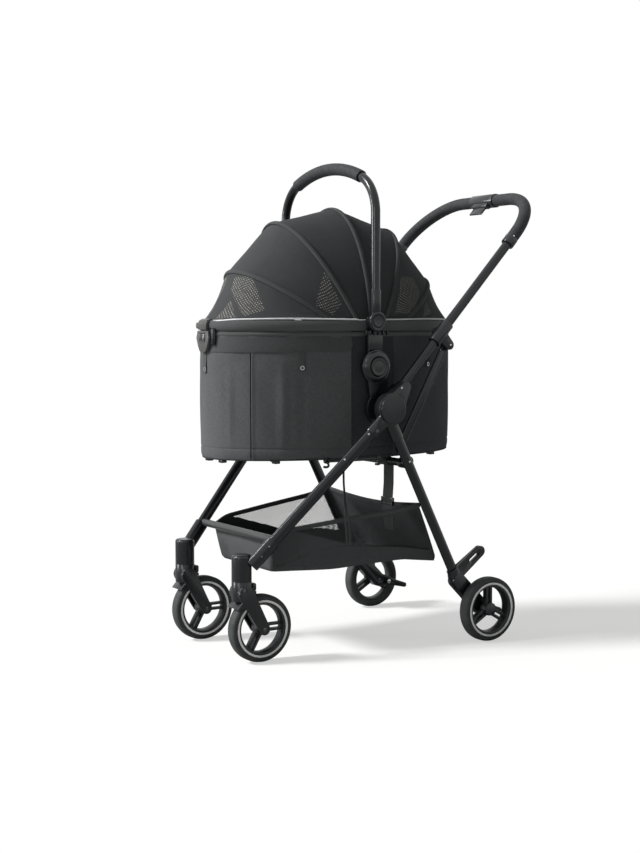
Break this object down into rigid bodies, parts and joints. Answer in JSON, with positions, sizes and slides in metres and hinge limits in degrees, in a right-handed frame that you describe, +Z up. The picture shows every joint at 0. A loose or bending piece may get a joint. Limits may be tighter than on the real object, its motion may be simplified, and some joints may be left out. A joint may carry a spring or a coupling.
{
  "type": "pet stroller",
  "caption": "Folding pet stroller with swivel front casters, rear foot brake, lift-off oval carrier with domed mesh canopy and carry arch, push handle and under-basket.",
  "frame": {"origin": "on the floor, under the middle of the stroller's bounding box", "axes": "+Z up, -Y the front, where the casters are, +X the stroller's left"},
  "size_m": [0.511, 0.8242, 1.109],
  "materials": {
    "tube": "satin anodised near-black tube",
    "steel": "bright zinc-plated steel",
    "plastic": "fine-grained black moulding",
    "plastic_trim": "satin black buttons and levers",
    "rim": "black moulded wheel rim",
    "tyre": "black foam tyre with a pale ring line",
    "foam": "soft-touch grip foam",
    "fabric": "charcoal woven fabric",
    "canopy": "dark woven fabric with mesh windows",
    "basket": "black fabric and mesh",
    "board": "stiff base board"
  },
  "bodies": {
    "frame": {"front_legs": "tube", "caster_sockets": "plastic", "front_crossbar": "tube", "hubs": "plastic", "hub_covers": "plastic_trim", "guide_tubes": "tube", "carrier_receivers": "plastic", "hub_pins": "steel", "lower_basket": "basket", "frame_rivets": "steel"},
    "rear_frame": {"rear_leg_heads": "plastic", "rear_leg_left": "tube", "rear_leg_right": "tube", "rear_crossbar": "tube", "crossbar_clamps": "plastic", "axle_brackets": "plastic", "rear_axles": "steel"},
    "handle": {"handle_tube": "tube", "handle_grip": "foam", "grip_collars": "plastic", "release_unit": "plastic", "handle_brackets": "plastic"},
    "release_lever": {"release_lever": "plastic_trim"},
    "carrier": {"carrier_tub": "fabric", "carrier_rim": "fabric", "base_board": "board", "side_plates": "plastic", "front_clasp": "plastic", "canopy_rear": "canopy", "canopy_bows": "canopy"},
    "clasp_button": {"clasp_button": "plastic_trim"},
    "canopy_middle": {"canopy_middle": "canopy", "middle_bow": "canopy"},
    "canopy_front": {"canopy_front": "canopy", "front_bow": "canopy"},
    "arch": {"carry_arch": "tube", "arch_grip": "foam", "arch_sleeves": "plastic"},
    "caster_left": {"caster_fork_left": "plastic", "caster_pins_left": "steel"},
    "swivel_lock_left": {"swivel_lock_left": "plastic_trim"},
    "front_wheel_left": {"front_tyre_left": "tyre", "front_rim_left": "rim"},
    "rear_wheel_left": {"rear_tyre_left": "tyre", "rear_rim_left": "rim"},
    "brake_left": {"brake_lever_left": "plastic_trim"},
    "link_left": {"link_bar_left": "tube"},
    "release_button_left": {"release_button_left": "plastic_trim"},
    "arch_button_left": {"arch_button_left": "plastic_trim"},
    "caster_right": {"caster_fork_right": "plastic", "caster_pins_right": "steel"},
    "swivel_lock_right": {"swivel_lock_right": "plastic_trim"},
    "front_wheel_right": {"front_tyre_right": "tyre", "front_rim_right": "rim"},
    "rear_wheel_right": {"rear_tyre_right": "tyre", "rear_rim_right": "rim"},
    "brake_right": {"brake_lever_right": "plastic_trim"},
    "link_right": {"link_bar_right": "tube"},
    "release_button_right": {"release_button_right": "plastic_trim"},
    "arch_button_right": {"arch_button_right": "plastic_trim"}
  },
  "joints": [
    {"name": "rear_fold", "type": "hinge", "parent": "frame", "child": "rear_frame", "pos_m": [0, -0.057, 0.551], "axis": [-1, 0, 0], "range_deg": [0, 50]},
    {"name": "handle_slide", "type": "slide", "parent": "frame", "child": "handle", "axis": [0, 0.683, 0.7304], "range_m": [-0.0545, 0]},
    {"name": "release_squeeze", "type": "slide", "parent": "handle", "child": "release_lever", "axis": [0, 0.683, 0.7304], "range_m": [0, 0.005], "stiffness_N_per_m": 600, "springref_m": -0.002},
    {"name": "carrier_lift", "type": "slide", "parent": "frame", "child": "carrier", "axis": [0, 0, 1], "range_m": [0, 0.28]},
    {"name": "clasp_press", "type": "slide", "parent": "carrier", "child": "clasp_button", "axis": [0, 1, 0], "range_m": [0, 0.002], "stiffness_N_per_m": 600, "springref_m": -0.001},
    {"name": "canopy_open", "type": "hinge", "parent": "carrier", "child": "canopy_middle", "pos_m": [0, -0.071, 0.677], "axis": [-1, 0, 0], "range_deg": [0, 12]},
    {"name": "canopy_front_open", "type": "hinge", "parent": "canopy_middle", "child": "canopy_front", "pos_m": [0, -0.071, 0.677], "axis": [-1, 0, 0], "range_deg": [0, 13.1]},
    {"name": "arch_swing", "type": "hinge", "parent": "carrier", "child": "arch", "pos_m": [0, -0.071, 0.744], "axis": [1, 0, 0], "range_deg": [-80, 80]},
    {"name": "caster_swivel_left", "type": "hinge", "parent": "frame", "child": "caster_left", "pos_m": [0.1345, -0.382, 0.12], "axis": [0, 0, 1], "continuous": true},
    {"name": "front_wheel_spin_left", "type": "hinge", "parent": "caster_left", "child": "front_wheel_left", "pos_m": [0.1345, -0.337, 0.075], "axis": [1, 0, 0], "continuous": true},
    {"name": "swivel_lock_tilt_left", "type": "hinge", "parent": "caster_left", "child": "swivel_lock_left", "pos_m": [0.1345, -0.3552, 0.1638], "axis": [-1, 0, 0], "range_deg": [0, 20]},
    {"name": "rear_wheel_spin_left", "type": "hinge", "parent": "rear_frame", "child": "rear_wheel_left", "pos_m": [0.2405, 0.217, 0.075], "axis": [1, 0, 0], "continuous": true},
    {"name": "brake_press_left", "type": "hinge", "parent": "rear_frame", "child": "brake_left", "pos_m": [0.1932, 0.243, 0.07], "axis": [-1, 0, 0], "range_deg": [0, 20]},
    {"name": "link_turn_left", "type": "hinge", "parent": "handle", "child": "link_left", "pos_m": [0.201, 0.119, 0.69104], "axis": [-1, 0, 0], "range_deg": [0, 13.6]},
    {"name": "release_press_left", "type": "slide", "parent": "frame", "child": "release_button_left", "axis": [-1, 0, 0], "range_m": [0, 0.0025], "stiffness_N_per_m": 600, "springref_m": -0.001},
    {"name": "arch_release_left", "type": "slide", "parent": "arch", "child": "arch_button_left", "axis": [-1, 0, 0], "range_m": [0, 0.002], "stiffness_N_per_m": 600, "springref_m": -0.001},
    {"name": "caster_swivel_right", "type": "hinge", "parent": "frame", "child": "caster_right", "pos_m": [-0.1345, -0.382, 0.12], "axis": [0, 0, 1], "continuous": true},
    {"name": "front_wheel_spin_right", "type": "hinge", "parent": "caster_right", "child": "front_wheel_right", "pos_m": [-0.1345, -0.337, 0.075], "axis": [1, 0, 0], "continuous": true},
    {"name": "swivel_lock_tilt_right", "type": "hinge", "parent": "caster_right", "child": "swivel_lock_right", "pos_m": [-0.1345, -0.3552, 0.1638], "axis": [-1, 0, 0], "range_deg": [0, 20]},
    {"name": "rear_wheel_spin_right", "type": "hinge", "parent": "rear_frame", "child": "rear_wheel_right", "pos_m": [-0.2405, 0.217, 0.075], "axis": [1, 0, 0], "continuous": true},
    {"name": "brake_press_right", "type": "hinge", "parent": "rear_frame", "child": "brake_right", "pos_m": [-0.1932, 0.243, 0.07], "axis": [-1, 0, 0], "range_deg": [0, 20]},
    {"name": "link_turn_right", "type": "hinge", "parent": "handle", "child": "link_right", "pos_m": [-0.201, 0.119, 0.69104], "axis": [-1, 0, 0], "range_deg": [0, 13.6]},
    {"name": "release_press_right", "type": "slide", "parent": "frame", "child": "release_button_right", "axis": [1, 0, 0], "range_m": [0, 0.0025], "stiffness_N_per_m": 600, "springref_m": -0.001},
    {"name": "arch_release_right", "type": "slide", "parent": "arch", "child": "arch_button_right", "axis": [1, 0, 0], "range_m": [0, 0.002], "stiffness_N_per_m": 600, "springref_m": -0.001}
  ],
  "couplings": [
    {"joint": "handle_slide", "follows": "rear_fold", "m_per_rad": -0.061831},
    {"joint": "link_turn_left", "follows": "rear_fold", "ratio": 0.27125},
    {"joint": "link_turn_right", "follows": "rear_fold", "ratio": 0.27125},
    {"joint": "canopy_front_open", "follows": "canopy_open", "ratio": 1.0909}
  ]
}
